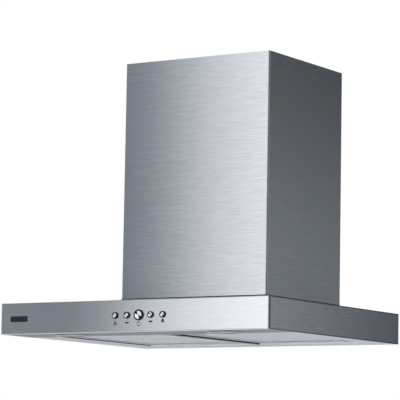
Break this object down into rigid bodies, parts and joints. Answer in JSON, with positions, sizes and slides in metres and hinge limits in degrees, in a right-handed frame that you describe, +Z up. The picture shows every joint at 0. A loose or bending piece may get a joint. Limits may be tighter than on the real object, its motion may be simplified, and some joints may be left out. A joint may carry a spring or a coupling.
{
  "type": "wall mount range hood",
  "caption": "Box canopy range hood with a square telescopic chimney, push buttons, downlights, hinged grease filters and a centrifugal blower inside.",
  "frame": {"origin": "on the wall plane, midway along the canopy's lower rear edge", "axes": "+X to the right seen from the front, +Y into the wall, +Z up"},
  "size_m": [0.6, 0.503, 0.554],
  "materials": {
    "brushed_stainless": "horizontally brushed, satin",
    "galvanised_sheet": "galvanised, dull",
    "zinc_fasteners": "zinc plated",
    "ground_steel": "ground",
    "filter_aluminium": "mill finish",
    "lamp_aluminium": "cast, satin",
    "chrome": "turned and polished",
    "black_abs": "fine satin",
    "grey_polypropylene": "moulded",
    "housing_abs": "moulded",
    "lamp_glass": "frosted",
    "motor_enamel": "black enamel",
    "rubber": "moulded",
    "circuit_board": "solder mask",
    "component_plastic": "moulded"
  },
  "bodies": {
    "root": {"canopy_shell": "brushed_stainless", "front_panel": "brushed_stainless", "lower_chimney": "brushed_stainless", "underside_pan": "brushed_stainless", "centre_rail": "brushed_stainless", "corner_brackets": "galvanised_sheet", "blower_box": "galvanised_sheet", "motor_bracket": "galvanised_sheet", "capacitor_clip": "galvanised_sheet", "wall_rail": "galvanised_sheet", "blower_screws": "zinc_fasteners", "collar_screws": "zinc_fasteners", "chimney_screws": "zinc_fasteners", "panel_nuts": "zinc_fasteners", "flap_pin": "ground_steel", "lamp_can_left": "lamp_aluminium", "lamp_can_right": "lamp_aluminium", "lamp_unit_left": "lamp_aluminium", "lamp_unit_right": "lamp_aluminium", "lamp_bezel_left": "chrome", "lamp_bezel_right": "chrome", "button_bezels": "black_abs", "badge_plate": "black_abs", "scroll_left": "grey_polypropylene", "scroll_right": "grey_polypropylene", "inlet_ring_left": "grey_polypropylene", "inlet_ring_right": "grey_polypropylene", "outlet_flange": "grey_polypropylene", "outlet_collar": "grey_polypropylene", "control_box": "housing_abs", "control_cover": "housing_abs", "junction_box": "housing_abs", "junction_lid": "housing_abs", "cable_gland": "housing_abs", "lamp_glass_left": "lamp_glass", "lamp_glass_right": "lamp_glass", "motor_body": "motor_enamel", "motor_grommets": "rubber", "control_board": "circuit_board", "key_switches": "component_plastic", "capacitor": "component_plastic", "terminal_block": "component_plastic"},
    "lamp_button": {"lamp_button": "chrome"},
    "slower_button": {"slower_button": "chrome"},
    "power_button": {"power_button": "chrome"},
    "faster_button": {"faster_button": "chrome"},
    "boost_button": {"boost_button": "chrome"},
    "filter_left": {"filter_frame_left": "filter_aluminium", "filter_mesh_left": "filter_aluminium"},
    "filter_right": {"filter_frame_right": "filter_aluminium", "filter_mesh_right": "filter_aluminium"},
    "latch_left": {"latch_left": "black_abs"},
    "latch_right": {"latch_right": "black_abs"},
    "fan": {"impeller": "grey_polypropylene", "motor_shaft": "ground_steel"},
    "flap_front": {"flap_front": "grey_polypropylene"},
    "flap_rear": {"flap_rear": "grey_polypropylene"},
    "upper_chimney": {"upper_chimney": "brushed_stainless", "chimney_bracket": "galvanised_sheet", "bracket_inserts": "zinc_fasteners"}
  },
  "joints": [
    {"name": "lamp_press", "type": "slide", "parent": "root", "child": "lamp_button", "axis": [0, 1, 0], "range_m": [0, 0.0012], "stiffness_N_per_m": 400},
    {"name": "slower_press", "type": "slide", "parent": "root", "child": "slower_button", "axis": [0, 1, 0], "range_m": [0, 0.0012], "stiffness_N_per_m": 400},
    {"name": "power_press", "type": "slide", "parent": "root", "child": "power_button", "axis": [0, 1, 0], "range_m": [0, 0.0012], "stiffness_N_per_m": 400},
    {"name": "faster_press", "type": "slide", "parent": "root", "child": "faster_button", "axis": [0, 1, 0], "range_m": [0, 0.0012], "stiffness_N_per_m": 400},
    {"name": "boost_press", "type": "slide", "parent": "root", "child": "boost_button", "axis": [0, 1, 0], "range_m": [0, 0.0012], "stiffness_N_per_m": 400},
    {"name": "filter_left_drop", "type": "hinge", "parent": "root", "child": "filter_left", "pos_m": [0, -0.041, 0.005], "axis": [1, 0, 0], "range_deg": [0, 60]},
    {"name": "latch_left_pull", "type": "slide", "parent": "filter_left", "child": "latch_left", "axis": [0, 1, 0], "range_m": [0, 0.005], "stiffness_N_per_m": 600},
    {"name": "filter_right_drop", "type": "hinge", "parent": "root", "child": "filter_right", "pos_m": [0, -0.041, 0.005], "axis": [1, 0, 0], "range_deg": [0, 60]},
    {"name": "latch_right_pull", "type": "slide", "parent": "filter_right", "child": "latch_right", "axis": [0, 1, 0], "range_m": [0, 0.005], "stiffness_N_per_m": 600},
    {"name": "fan_spin", "type": "hinge", "parent": "root", "child": "fan", "pos_m": [0, -0.12, 0.18], "axis": [1, 0, 0], "continuous": true},
    {"name": "flap_front_lift", "type": "hinge", "parent": "root", "child": "flap_front", "pos_m": [0, -0.175, 0.383], "axis": [-1, 0, 0], "range_deg": [0, 75]},
    {"name": "flap_rear_lift", "type": "hinge", "parent": "root", "child": "flap_rear", "pos_m": [0, -0.175, 0.383], "axis": [1, 0, 0], "range_deg": [0, 75]},
    {"name": "chimney_raise", "type": "slide", "parent": "root", "child": "upper_chimney", "axis": [0, 0, 1], "range_m": [0, 0.35]}
  ]
}
